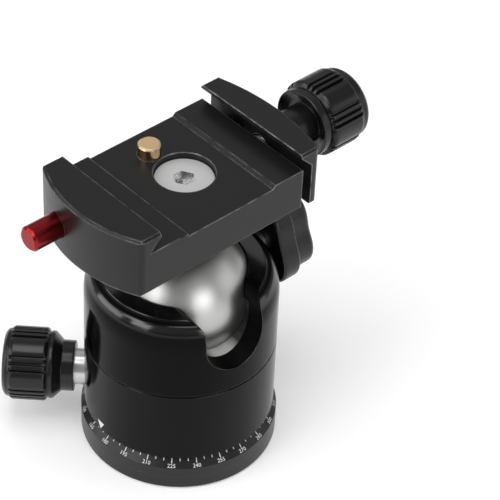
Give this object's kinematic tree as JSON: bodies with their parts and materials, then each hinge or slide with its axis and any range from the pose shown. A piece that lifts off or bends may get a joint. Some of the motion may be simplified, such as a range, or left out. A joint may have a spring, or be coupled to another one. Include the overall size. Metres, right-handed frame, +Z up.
{
  "type": "tripod ball head",
  "caption": "Compact tripod ball head: panning base, ball with drop slot and lock knob, screw-knob dovetail clamp with a sprung safety pin and release button.",
  "frame": {"origin": "centre of the base's bottom face, on the axis of the tripod socket", "axes": "+Z up along the pan axis; +X from the clamp's safety button to its screw knob; the drop slot opens towards -Y"},
  "size_m": [0.0781, 0.0514, 0.0728],
  "materials": {
    "black_anodised": "black anodised aluminium, satin",
    "gloss_black": "black lacquered aluminium, glossy",
    "knob_black": "black anodised aluminium, semi-gloss",
    "ball_alloy": "clear anodised aluminium, satin",
    "silver_steel": "plain steel, satin",
    "dark_steel": "oiled steel",
    "spring_steel": "bright spring wire",
    "brass": "turned brass",
    "red_anodised": "red anodised aluminium, satin",
    "liner_plastic": "light grey acetal",
    "slip_plastic": "white acetal"
  },
  "bodies": {
    "base": {"base_plate": "black_anodised", "scale_ring": "gloss_black", "tripod_socket": "silver_steel", "pan_spindle": "silver_steel", "spindle_screws": "dark_steel", "pan_slip_ring": "slip_plastic", "pan_retaining_washer": "silver_steel", "pan_retaining_screw": "dark_steel"},
    "housing": {"housing_lower": "gloss_black", "housing_upper": "gloss_black", "housing_screws": "dark_steel", "pressure_cup": "liner_plastic", "disc_springs": "spring_steel", "upper_seat_ring": "liner_plastic"},
    "lock_shoe": {"brake_shoe": "brass"},
    "lock_knob": {"lock_screw": "silver_steel", "lock_knob": "knob_black", "lock_knob_cap": "knob_black"},
    "pan_pad": {"pan_brake_pad": "brass"},
    "pan_knob": {"pan_lock_screw": "silver_steel", "pan_knob": "knob_black", "pan_knob_cap": "knob_black"},
    "ball": {"ball_stem": "ball_alloy"},
    "clamp": {"clamp_body": "black_anodised", "stem_screw": "silver_steel", "button_stop_screw": "dark_steel", "pin_plug": "dark_steel", "button_spring": "spring_steel", "pin_spring": "spring_steel", "jaw_springs": "spring_steel"},
    "moving_jaw": {"clamp_jaw": "black_anodised", "jaw_guide_pins": "silver_steel", "clamp_thrust_washer": "brass"},
    "clamp_knob": {"clamp_screw": "silver_steel", "clamp_knob": "knob_black", "clamp_knob_cap": "knob_black"},
    "button": {"safety_button": "red_anodised"},
    "pin": {"safety_pin": "brass"}
  },
  "joints": [
    {"name": "pan", "type": "hinge", "parent": "base", "child": "housing", "pos_m": [0, 0, 0.012], "axis": [0, 0, 1], "continuous": true},
    {"name": "ball_tilt", "type": "hinge", "parent": "housing", "child": "ball", "pos_m": [0, 0, 0.038], "axis": [0.9936, -0.1132, 0], "range_deg": [-38, 90]},
    {"name": "clamp_spin", "type": "hinge", "parent": "ball", "child": "clamp", "pos_m": [0, 0, 0.059], "axis": [0, 0, 1], "continuous": true},
    {"name": "jaw_slide", "type": "slide", "parent": "clamp", "child": "moving_jaw", "axis": [1, 0, 0], "range_m": [-0.0023, 0.002], "deforming": ["jaw_springs"]},
    {"name": "clamp_knob_turn", "type": "hinge", "parent": "moving_jaw", "child": "clamp_knob", "pos_m": [0.038, 0, 0.0645], "axis": [1, 0, 0], "range_deg": [-830, 722]},
    {"name": "button_push", "type": "slide", "parent": "clamp", "child": "button", "axis": [1, 0, 0], "range_m": [0, 0.0028], "stiffness_N_per_m": 900, "springref_m": -0.002, "deforming": ["button_spring"]},
    {"name": "safety_pin_drop", "type": "slide", "parent": "clamp", "child": "pin", "axis": [0, 0, -1], "range_m": [0, 0.0028], "deforming": ["pin_spring"]},
    {"name": "lock_shoe_slide", "type": "slide", "parent": "housing", "child": "lock_shoe", "axis": [-1, 0, 0], "range_m": [-0.0004, 0.0003]},
    {"name": "lock_knob_turn", "type": "hinge", "parent": "lock_shoe", "child": "lock_knob", "pos_m": [0.0255, 0, 0.0392], "axis": [-1, 0, 0], "range_deg": [-146, 110]},
    {"name": "pan_pad_slide", "type": "slide", "parent": "housing", "child": "pan_pad", "axis": [0.7096, -0.7046, 0], "range_m": [-0.0004, 0.00025]},
    {"name": "pan_knob_turn", "type": "hinge", "parent": "pan_pad", "child": "pan_knob", "pos_m": [-0.02306, 0.0229, 0.0136], "axis": [0.7096, -0.7046, 0], "range_deg": [-146, 92]}
  ],
  "couplings": [
    {"joint": "clamp_knob_turn", "follows": "jaw_slide", "rad_per_m": 6283.2},
    {"joint": "safety_pin_drop", "follows": "button_push", "ratio": 1},
    {"joint": "lock_knob_turn", "follows": "lock_shoe_slide", "rad_per_m": 6283.2},
    {"joint": "pan_knob_turn", "follows": "pan_pad_slide", "rad_per_m": 6283.2}
  ]
}
